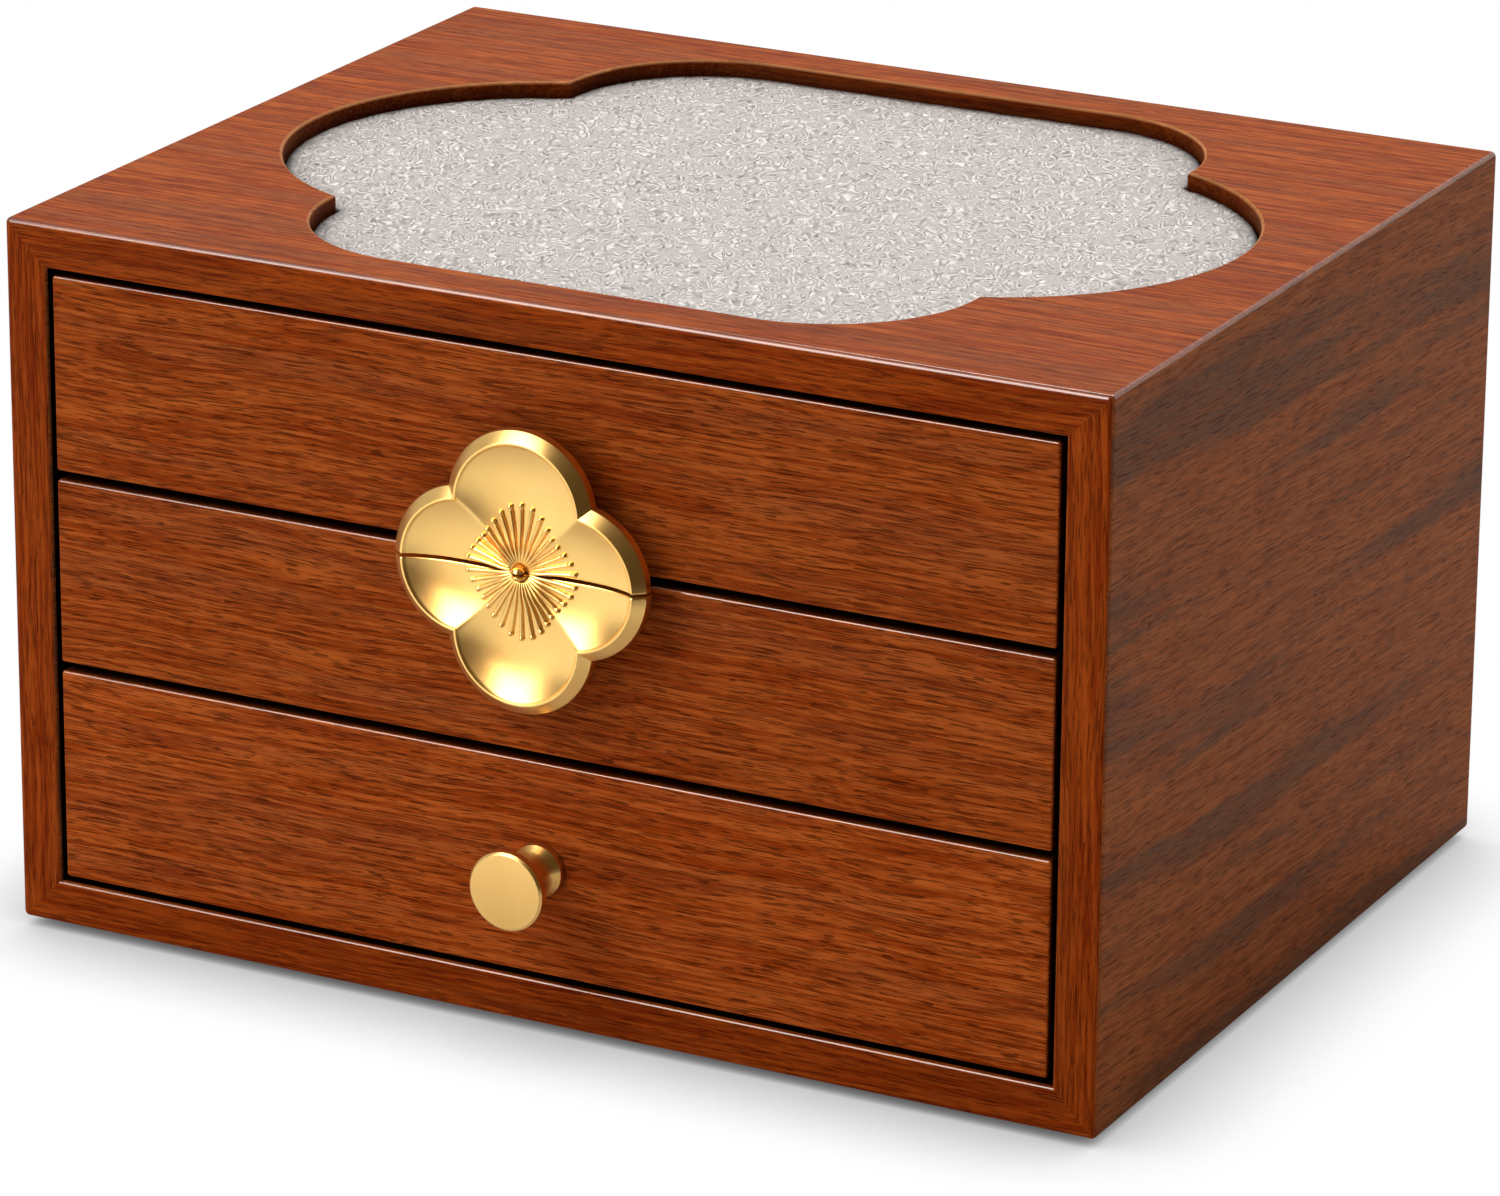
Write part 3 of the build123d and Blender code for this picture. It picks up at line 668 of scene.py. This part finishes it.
def flower_plate(flower, up, name):
    """One half's plate: a fine sheet laid over the cups, rim, bevel and wall, then closed behind."""
    sizes = flower.sizes
    side_steps, top_steps, cup_steps = 64, 96, 56
    foot = 0.25 * MM            # chamfer at the back of the wall
    least_height = 0.3 * MM     # what the rounding along the slit leaves of the wall
    lip_ease, rim_ease, wall_ease = 0.12 * MM, 0.22 * MM, 0.35 * MM
    outer, top, wall = sizes.petal_radius, sizes.thickness, sizes.wall
    rim_out = outer - sizes.bevel
    rim_in = rim_out - sizes.rim
    section = rounded([
        (flower.cup_radius, flower.edge_height, 0.0),
        (rim_in, top, lip_ease),
        (rim_out, top, rim_ease),
        (outer, wall, wall_ease),
        (outer, foot, 0.0),
        (outer - foot, 0.0, 0.0),
    ])
    edge = flower.outline(flower.cup_radius, side_steps, top_steps)
    columns = len(edge)
    pole = np.array((0.0, flower.half_slit))
    rows = []
    for step in range(cup_steps + 1):
        spots = pole + (edge - pole) * (step / cup_steps)
        rows.append(np.column_stack((spots, flower.cup(spots[:, 0], spots[:, 1]))))
    for radius, height in section[1:]:
        spots = flower.outline(radius, side_steps, top_steps)
        rows.append(np.column_stack((spots, np.full(columns, height))))

    # A sheet with one row for each step outwards and one column for each step round
    plate = add_grid(columns, len(rows), name)
    grid = np.vstack(rows)
    above_slit = grid[:, 1] - flower.half_slit
    drop = np.clip(sizes.slit_edge - above_slit, 0, sizes.slit_edge)
    drop = sizes.slit_edge - np.sqrt(sizes.slit_edge ** 2 - drop ** 2)
    heights = np.maximum(grid[:, 2] - drop, np.minimum(grid[:, 2], least_height))
    move_points(plate, flower.place(grid[:, 0], grid[:, 1], heights, up))

    # The slit's face runs straight back from the sheet's edge, and the back is flat
    start_edit(plate)
    slit_edge = [row * columns + end for row in range(len(rows)) for end in (0, columns - 1)]
    select_vertices(plate, slit_edge)
    bpy.ops.mesh.extrude_edges_move()
    bpy.ops.object.mode_set(mode="OBJECT")
    points = points_of(plate)
    points[len(grid):, 1] = flower.back_y
    move_points(plate, points)
    bpy.ops.object.mode_set(mode="EDIT")
    bpy.ops.mesh.select_all(action="SELECT")
    bpy.ops.mesh.remove_doubles(threshold=0.004 * MM)
    bpy.ops.mesh.select_all(action="DESELECT")
    bpy.ops.mesh.select_non_manifold(
        extend=False, use_wire=False, use_multi_face=False, use_non_contiguous=False, use_verts=False
    )
    bpy.ops.mesh.fill()
    close_mesh()
    return plate


def flower_ball(flower, up, name):
    """Half of the ball in the middle, cut off at the slit and eased along the cut."""
    sizes = flower.sizes
    rise_share = 0.8            # how far the ball's centre stands above the cups, in radii
    middle = np.zeros(1)
    height = float(flower.cup(middle, middle)[0]) + sizes.ball * rise_share
    centre = (0.0, flower.back_y - height, flower.centre_z)
    bpy.ops.object.select_all(action="DESELECT")
    bpy.ops.mesh.primitive_uv_sphere_add(segments=56, ring_count=28, radius=sizes.ball, location=centre)
    ball = bpy.context.object
    ball.name = name
    bpy.ops.object.transform_apply(location=True, rotation=True, scale=True)
    start_edit(ball)
    bpy.ops.mesh.select_all(action="SELECT")
    bpy.ops.mesh.bisect(
        plane_co=(0, 0, flower.centre_z + up * flower.half_slit), plane_no=(0, 0, up),
        use_fill=True, clear_inner=True,
    )
    bpy.ops.mesh.bevel(offset=sizes.slit_edge, segments=4, affect="EDGES")
    close_mesh()
    return ball


def flower_stamens(flower, up, name):
    """The stamens of one half: bars with a bead at the tip, each turned and laid on the cups."""
    sizes = flower.sizes
    bar_steps, bead_steps, round_steps = 14, 8, 12
    bead_turn = np.linspace(0.75 * math.pi, 0, bead_steps)
    inner_share = 0.6           # how thick a stamen's inner end is, as a share of its tip
    above_cups = 0.2 * MM
    first = math.radians(6.5)   # from the slit to the first stamen
    step = math.radians(10.44)  # and from each stamen to the next
    bars = []
    for number in range(sizes.stamens):
        angle = first + step * number
        tip = sizes.stamen_reach + sizes.stamen_gain * math.cos(4 * angle)
        tip -= sizes.stamen_loss * math.cos(2 * angle)
        bar_out = np.linspace(sizes.stamen_start, tip, bar_steps)[:-1]
        along = np.append(bar_out, tip + sizes.stamen_tip * np.cos(bead_turn))
        bar_thick = sizes.stamen * np.linspace(inner_share, 1, bar_steps - 1)
        bar_thick[0] = 0
        thick = np.append(bar_thick, sizes.stamen_tip * np.sin(bead_turn))
        bar = add_grid(round_steps + 1, len(along), f"{name}_{number}")
        turn = np.tile(np.linspace(0, 2 * math.pi, round_steps + 1), len(along))
        out = np.repeat(along, round_steps + 1)
        aside = np.repeat(thick, round_steps + 1) * np.cos(turn)
        lift = np.repeat(thick, round_steps + 1) * np.sin(turn)
        floor = flower.cup(out * math.cos(angle), out * math.sin(angle))
        x = out * math.cos(angle) - aside * math.sin(angle)
        z = out * math.sin(angle) + aside * math.cos(angle)
        move_points(bar, flower.place(x, z, floor + lift + above_cups, up))
        bars.append(bar)
    stamens = join(bars, name)
    start_edit(stamens)
    close_mesh(merge=0.0005 * MM)
    return stamens


class JEWELRYBOX_OT_flower_pull(bpy.types.Operator):
    """Model both halves of the flower pull"""

    bl_idname = "jewelry_box.flower_pull"
    bl_label = "Flower pull"

    def execute(self, context):
        settings = context.scene.jewelry_box
        flower = Flower(settings.flower)
        brass = plated_brass(settings.pull)
        for half, up, body in (("upper", 1, "top_drawer"), ("lower", -1, "middle_drawer")):
            plate = flower_plate(flower, up, f"flower_{half}_plate")
            ball = flower_ball(flower, up, f"flower_{half}_ball")
            whole = join([plate, ball], f"flower_{half}_petals")
            smooth(whole, degrees=40)
            hand_over(whole, body, "pull_brass", brass, f"flower_{half}_half")
            stamens = flower_stamens(flower, up, f"flower_{half}_stamens")
            smooth(stamens, degrees=50)
            hand_over(stamens, body, "pull_brass", brass)
        dress(["flower_upper_posts", "flower_lower_posts"], brass)
        return {"FINISHED"}


# Knob


def knob_section(sizes, face, length):
    """The knob's half section, from the middle of its base to that of its face: radius and way out."""
    base = sizes.base_diameter / 2
    neck = sizes.neck_diameter / 2
    neck_start = sizes.base_thickness
    neck_end = length - sizes.face_thickness

    # The neck is an arc, hollowed from the base's radius
    half_neck = (neck_end - neck_start) / 2
    hollow = base - neck
    arc_radius = (half_neck ** 2 + hollow ** 2) / (2 * hollow)
    arc_turn = math.asin(half_neck / arc_radius)
    turns = np.linspace(-arc_turn, arc_turn, 25)
    arc = list(np.column_stack((
        neck + arc_radius - arc_radius * np.cos(turns),
        (neck_start + neck_end) / 2 + arc_radius * np.sin(turns),
    )))
    arc = arc[3:-2]             # the roundings of the base and the face take up its ends

    back_ease, base_ease = 0.2 * MM, 0.35 * MM
    neck_ease, face_ease, chamfer_ease = 0.3 * MM, 0.25 * MM, 0.1 * MM
    chamfer = sizes.chamfer
    foot = rounded([(0, 0, 0), (base, 0, back_ease), (base, neck_start, base_ease), (*arc[0], 0)])
    head = rounded([
        (*arc[-1], 0),
        (base + neck_ease, neck_end, neck_ease),
        (face, neck_end, face_ease),
        (face, length - chamfer, chamfer_ease),
        (face - chamfer, length, chamfer_ease),
        (0, length, 0),
    ])
    return foot[:-1] + arc + head[1:]


class JEWELRYBOX_OT_knob(bpy.types.Operator):
    """Turn the knob from its section"""

    bl_idname = "jewelry_box.knob"
    bl_label = "Knob"

    def execute(self, context):
        low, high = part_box("knob")
        centre = (low + high) / 2
        section = knob_section(context.scene.jewelry_box.knob, (high.x - low.x) / 2, high.y - low.y)
        mesh = bpy.data.meshes.new("knob_turned")
        points = [(radius + centre.x, high.y - out, centre.z) for radius, out in section]
        mesh.from_pydata(points, [(i, i + 1) for i in range(len(points) - 1)], [])
        knob = bpy.data.objects.new("knob_turned", mesh)
        context.collection.objects.link(knob)
        start_edit(knob)
        bpy.ops.mesh.select_all(action="SELECT")
        bpy.ops.mesh.spin(steps=128, angle=2 * math.pi, center=centre, axis=(0, 1, 0))
        close_mesh()
        smooth(knob, degrees=40)
        hand_over(knob, "bottom_drawer", "pull_brass", bpy.data.materials["gold_plated_brass"], "knob")
        return {"FINISHED"}


# Tray fabric and drawer linings


def smooth_noise(x, y, size, seed):
    """Value noise of a real size, the same on every run."""
    rng = np.random.default_rng(seed)
    cells = 256
    table = rng.random((cells, cells))
    offset = 1000               # keeps the places in the table positive
    gx, gy = x / size + offset, y / size + offset
    ix, iy = np.floor(gx).astype(int), np.floor(gy).astype(int)
    fx, fy = gx - ix, gy - iy
    fx, fy = fx * fx * (3 - 2 * fx), fy * fy * (3 - 2 * fy)
    a = table[ix % cells, iy % cells]
    b = table[(ix + 1) % cells, iy % cells]
    c = table[ix % cells, (iy + 1) % cells]
    d = table[(ix + 1) % cells, (iy + 1) % cells]
    return (a * (1 - fx) + b * fx) * (1 - fy) + (c * (1 - fx) + d * fx) * fy


def crinkle_relief(x, y):
    """Soft curly folds, from 0 to 1: the creases lie where a warped noise passes its middle value."""
    warp, warp_size = 2.2 * MM, 4 * MM
    fine_size, broad_size = 2.6 * MM, 4.1 * MM
    wx = x + warp * (smooth_noise(x, y, warp_size, 1) - 0.5)
    wy = y + warp * (smooth_noise(x, y, warp_size, 2) - 0.5)
    fine = np.abs(smooth_noise(wx, wy, fine_size, 3) - 0.5) * 2
    broad = np.abs(smooth_noise(wx, wy, broad_size, 4) - 0.5) * 2
    return np.clip(0.6 * np.sqrt(fine) + 0.4 * np.sqrt(broad), 0, 1)


class JEWELRYBOX_OT_tray_fabric(bpy.types.Operator):
    """Model the fabric pad in the top tray"""

    bl_idname = "jewelry_box.tray_fabric"
    bl_label = "Tray fabric"

    def execute(self, context):
        settings = context.scene.jewelry_box
        sizes = settings.padding
        pad = bpy.data.objects.new("tray_fabric_pad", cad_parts["tray_pad"].data.copy())
        context.collection.objects.link(pad)
        start_edit(pad)
        close_mesh(merge=0.01 * MM)
        pad.data.remesh_voxel_size = sizes.cell
        pad.data.use_remesh_preserve_volume = True
        bpy.ops.object.voxel_remesh()
        low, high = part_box("tray_pad")
        points = points_of(pad)
        near_floor = 0.2 * MM
        on_floor = points[:, 2] < low.z + near_floor

        # Crinkles only on the upper side, fading out down the sides
        fade_start, fade_height = 1.2 * MM, 1.0 * MM
        upper = np.clip((points[:, 2] - (high.z - fade_start)) / fade_height, 0, 1)
        relief = crinkle_relief(points[:, 0], points[:, 1]) * sizes.crinkle
        mean_relief = 0.6 * sizes.crinkle
        points[:, 2] += upper * (relief - mean_relief + sizes.loft)
        points[on_floor, 2] = low.z
        move_points(pad, points)

        # One flat face closes the floor
        start_edit(pad)
        select_vertices(pad, np.flatnonzero(on_floor))
        bpy.ops.mesh.delete(type="ONLY_FACE")
        bpy.ops.mesh.select_all(action="SELECT")
        bpy.ops.mesh.delete_loose(use_faces=False)
        bpy.ops.mesh.select_non_manifold(extend=False)
        bpy.ops.mesh.edge_face_add()
        close_mesh()
        smooth(pad, degrees=60)
        hand_over(pad, "case", "tray_fabric", crinkled_fabric(settings.fabric), "tray_pad")
        return {"FINISHED"}


class JEWELRYBOX_OT_drawer_linings(bpy.types.Operator):
    """Lay a felt sheet in each drawer"""

    bl_idname = "jewelry_box.drawer_linings"
    bl_label = "Drawer linings"

    def execute(self, context):
        settings = context.scene.jewelry_box
        sizes = settings.padding
        pile = grey_felt(settings.fabric)
        ripple_size = 24 * MM
        below_top = 0.14 * MM       # room for the ripples under the solid's top
        thinner = 0.2 * MM          # than the solid, so that the ripples stay above its bottom too
        for number, drawer in enumerate(DRAWERS):
            low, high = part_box(f"{drawer}_drawer_lining")
            width, depth, thickness = high - low
            columns = round(width / sizes.lining_cell) + 1
            rows = round(depth / sizes.lining_cell) + 1
            lining = add_grid(columns, rows, f"{drawer}_drawer_felt")
            points = points_of(lining)
            middle = (low + high) / 2
            x = middle.x + points[:, 0] * width
            y = middle.y + points[:, 1] * depth
            ripple = smooth_noise(x, y, ripple_size, 10 + number) * sizes.lining_ripple
            move_points(lining, np.column_stack((x, y, high.z - below_top + ripple)))
            solid = lining.modifiers.new("Felt", "SOLIDIFY")
            solid.thickness = thickness - thinner
            solid.offset = -1
            bpy.ops.object.modifier_apply(modifier=solid.name)
            bevel = lining.modifiers.new("Cut edge", "BEVEL")
            bevel.width = sizes.lining_edge
            bevel.segments = 2
            bevel.limit_method = "ANGLE"
            bevel.angle_limit = math.radians(50)
            bpy.ops.object.modifier_apply(modifier=bevel.name)
            smooth(lining, degrees=60)
            hand_over(lining, f"{drawer}_drawer", "drawer_lining", pile, f"{drawer}_drawer_lining")
        return {"FINISHED"}


# Finishes of the solids


# Painted light: how much paler each drawer front is painted, the lower ones more
PAINTED_LIGHT_LIFT = {"bottom": 1.22, "middle": 1.04, "top": 1.0}


def case_hollow():
    """Corners of the case's hollow, from a little behind its front to a little above its ceiling."""
    behind_front, above_ceiling = 1.2 * MM, 0.3 * MM
    top_low, top_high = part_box("top_panel")
    left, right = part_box("left_side_panel")[1].x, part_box("right_side_panel")[0].x
    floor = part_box("bottom_panel")[1].z
    low = Vector((left, top_low.y + behind_front, floor))
    high = Vector((right, top_high.y, top_low.z + above_ceiling))
    return low, high


def tray_opening():
    """Corners of the box round the wall of the tray's opening, from the pad up to the top."""
    margin = 5 * MM
    pad_low, pad_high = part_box("tray_pad")
    low = Vector((pad_low.x - margin, pad_low.y - margin, pad_high.z))
    high = Vector((pad_high.x + margin, pad_high.y + margin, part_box("top_panel")[1].z))
    return low, high


class JEWELRYBOX_OT_wood(bpy.types.Operator):
    """Finish the boards of the case and the drawers"""

    bl_idname = "jewelry_box.wood"
    bl_label = "Wood"

    def execute(self, context):
        finish = context.scene.jewelry_box.veneer
        hollow = case_hollow()
        across_case = veneer(
            "case_veneer", finish, "X", banding=0.25, contrast=0.8, hollow=hollow, opening=tray_opening()
        )
        dress(["top_panel", "bottom_panel"], across_case)
        side_leaf = veneer(
            "side_veneer", finish, "Y", edge_grain="Z", slant=math.radians(3), banding=0.8, band_mm=8.0,
            contrast=0.8, fading=0.5, hollow=hollow,
        )
        dress([f"{side}_side_panel" for side in SIDES], side_leaf)
        for drawer, lift in PAINTED_LIGHT_LIFT.items():
            leaf = veneer(f"{drawer}_front_veneer", finish, "X", banding=0.15, gap_mm=6.0, lift=lift)
            dress([f"{drawer}_drawer_front"], leaf)
        dress(["back_panel"], veneer("back_veneer", finish, "X", contrast=0.7))
        inner_x = veneer("inner_wood_across", finish, "X", banding=0.1)
        inner_y = veneer("inner_wood_along", finish, "Y", banding=0.1)
        for drawer in DRAWERS:
            dress([f"{drawer}_drawer_{side}_side" for side in SIDES], inner_y)
            dress([f"{drawer}_drawer_back", f"{drawer}_drawer_floor"], inner_x)
            dress([f"{drawer}_{side}_runner" for side in SIDES], inner_y)
        dress(["tray_board"], inner_x)
        dress(["corner_tongues"], inner_y)
        return {"FINISHED"}


class JEWELRYBOX_OT_fittings(bpy.types.Operator):
    """Finish the screws, pins and feet"""

    bl_idname = "jewelry_box.fittings"
    bl_label = "Screws, pins and feet"

    def execute(self, context):
        # Rolled steel with a thin zinc plating: a cool, even sheen with fine cloudy patches
        steel = plain_material("zinc_plated_steel", "#b9bcc0", "#d6d8da", 1.5, 0.32, metallic=1.0)
        # Moulded rubber: dull and nearly black, with a fine mottle
        rubber = plain_material("black_rubber", "#1b1a19", "#2c2a28", 0.8, 0.8)
        dress([
            "back_panel_pins", "tray_board_screws", "runner_screws", "flower_upper_screws",
            "flower_lower_screws", "knob_screw",
        ], steel)
        dress([f"{depth}_{side}_foot" for depth in ("front", "back") for side in SIDES], rubber)
        return {"FINISHED"}


# Stage


def white_paper(sizes):
    """Matt white paper: it lights the object, but is seen as a white sweep with a contact shadow."""
    material = bpy.data.materials.new("white_paper")
    add = start_nodes(material)
    ray = add("LightPath")
    place = add("TexCoord").outputs["Object"]

    # Where the pulls mirror it, the floor is bright only near the object
    front_right, softness = (1, -1, 0), 0.15
    ahead = add("VectorMath", {0: place, 1: front_right}, operation="DOT_PRODUCT").outputs["Value"]
    near_end, far_end = ((1 + side * softness) * sizes.floor_front for side in (-1, 1))
    levels = {"Value": ahead, "From Min": near_end, "From Max": far_end}
    far = add("MapRange", levels, interpolation_type="SMOOTHSTEP")
    dimmed = add("Math", {0: far, 1: ray.outputs["Is Glossy Ray"]}, operation="MULTIPLY")
    tone = add("Mix", {"Factor": dimmed, 6: sizes.floor, 7: sizes.shade}, data_type="RGBA").outputs[2]
    diffuse = add("BsdfDiffuse", {"Color": tone})

    open_sky = add("AmbientOcclusion", {"Distance": sizes.shadow_reach}, samples=12).outputs["AO"]
    light = add("MapRange", {"Value": open_sky, "From Max": 0.92, "To Min": 0.06})
    sweep = add("Emission", {"Strength": light})
    seen = add("MixShader", {"Fac": ray.outputs["Is Camera Ray"], 1: diffuse, 2: sweep})
    add("OutputMaterial", {"Surface": seen})
    return material


def soft_room(sizes):
    """A white wall behind and to the left, and a dim warm room in front."""
    world = bpy.data.worlds.new("soft_room")
    add = start_nodes(world)
    direction = add("TexCoord").outputs["Generated"]
    to_wall = (-0.45, 0.89, 0.0)
    behind = add("VectorMath", {0: direction, 1: to_wall}, operation="DOT_PRODUCT").outputs["Value"]
    wall = add("MapRange", {"Value": behind, "From Max": 0.6}, interpolation_type="SMOOTHSTEP")
    mirrored = add("LightPath").outputs["Is Glossy Ray"]
    tones = {"Factor": mirrored, 6: sizes.surroundings, 7: sizes.shade}
    near = add("Mix", tones, data_type="RGBA").outputs[2]
    colour = add("Mix", {"Factor": wall, 6: near, 7: sizes.wall}, data_type="RGBA").outputs[2]
    room = add("Background", {"Color": colour})
    add("OutputWorld", {"Surface": room})
    return world


# Lamps: place, width and height in metres, radiance, colour, and whether they light matt surfaces too
LAMPS = {
    "key_softbox": ((-0.66, -0.92, 1.08), 1.0, 1.2, 3.9, "#ffffff", True),
    "overhead_softbox": ((-0.1, 0.8, 1.2), 1.0, 0.6, 8.0, "#ffffff", True),
    "gloss_card": ((-0.60, -1.39, 0.83), 0.80, 1.6, 9.0, "#ffe9d6", False),
}
LAMP_AIM = Vector((0, 0, 0.08))


class JEWELRYBOX_OT_stage(bpy.types.Operator):
    """Set the floor, the light and the camera"""

    bl_idname = "jewelry_box.stage"
    bl_label = "Stage"

    def execute(self, context):
        scene = context.scene
        sizes = scene.jewelry_box.stage
        scene.view_settings.view_transform = "Standard"
        for old in [obj for obj in bpy.data.objects if obj.type in {"CAMERA", "LIGHT"}]:
            bpy.data.objects.remove(old)

        bpy.ops.object.select_all(action="DESELECT")
        bpy.ops.mesh.primitive_plane_add(size=sizes.floor_size)
        floor = bpy.context.object
        floor.name = "floor"
        floor.data.materials.append(white_paper(sizes))
        scene.world = soft_room(sizes)

        for name, (spot, width, height, radiance, colour, lights_matt) in LAMPS.items():
            lamp = bpy.data.lights.new(name, "AREA")
            lamp.shape = "RECTANGLE"
            lamp.size, lamp.size_y = width, height
            lamp.color = linear(colour)[:3]
            lamp.energy = radiance * math.pi * width * height
            lamp_object = bpy.data.objects.new(name, lamp)
            lamp_object.location = spot
            lamp_object.rotation_euler = (LAMP_AIM - Vector(spot)).to_track_quat("-Z", "Y").to_euler()
            lamp_object.visible_diffuse = lights_matt
            context.collection.objects.link(lamp_object)

        camera = bpy.data.cameras.new("photo_camera")
        camera.sensor_width = 36
        camera.lens = sizes.lens
        camera_object = bpy.data.objects.new("photo_camera", camera)
        camera_object.location = sizes.camera
        view = Vector(sizes.forward).to_track_quat("-Z", "Y").to_matrix()
        view = view @ Matrix.Rotation(sizes.roll, 3, "Z")
        camera_object.rotation_euler = view.to_euler()
        context.collection.objects.link(camera_object)
        scene.camera = camera_object
        return {"FINISHED"}


class VIEW3D_PT_jewelry_box(bpy.types.Panel):
    """The steps that dress the jewelry box"""

    bl_label = "Jewelry Box"
    bl_idname = "VIEW3D_PT_jewelry_box"
    bl_space_type = "VIEW_3D"
    bl_region_type = "UI"
    bl_category = "Jewelry Box"

    def draw(self, context):
        for step in STEPS:
            self.layout.operator(step.bl_idname)


STEPS = (
    JEWELRYBOX_OT_stage,
    JEWELRYBOX_OT_wood,
    JEWELRYBOX_OT_fittings,
    JEWELRYBOX_OT_flower_pull,
    JEWELRYBOX_OT_knob,
    JEWELRYBOX_OT_tray_fabric,
    JEWELRYBOX_OT_drawer_linings,
)
CLASSES = (
    VeneerFinish, PullFinish, FabricFinish, FlowerSizes, KnobSizes, PaddingSizes, StageSizes,
    JewelryBoxSettings, *STEPS, VIEW3D_PT_jewelry_box,
)


def register():
    for kind in CLASSES:
        bpy.utils.register_class(kind)
    bpy.types.Scene.jewelry_box = bpy.props.PointerProperty(type=JewelryBoxSettings)


def unregister():
    del bpy.types.Scene.jewelry_box
    for kind in reversed(CLASSES):
        bpy.utils.unregister_class(kind)


def main():
    register()
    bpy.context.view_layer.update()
    bpy.ops.jewelry_box.stage()
    bpy.ops.jewelry_box.wood()
    bpy.ops.jewelry_box.fittings()
    bpy.ops.jewelry_box.flower_pull()
    bpy.ops.jewelry_box.knob()
    bpy.ops.jewelry_box.tray_fabric()
    bpy.ops.jewelry_box.drawer_linings()


if __name__ == "__main__":
    main()
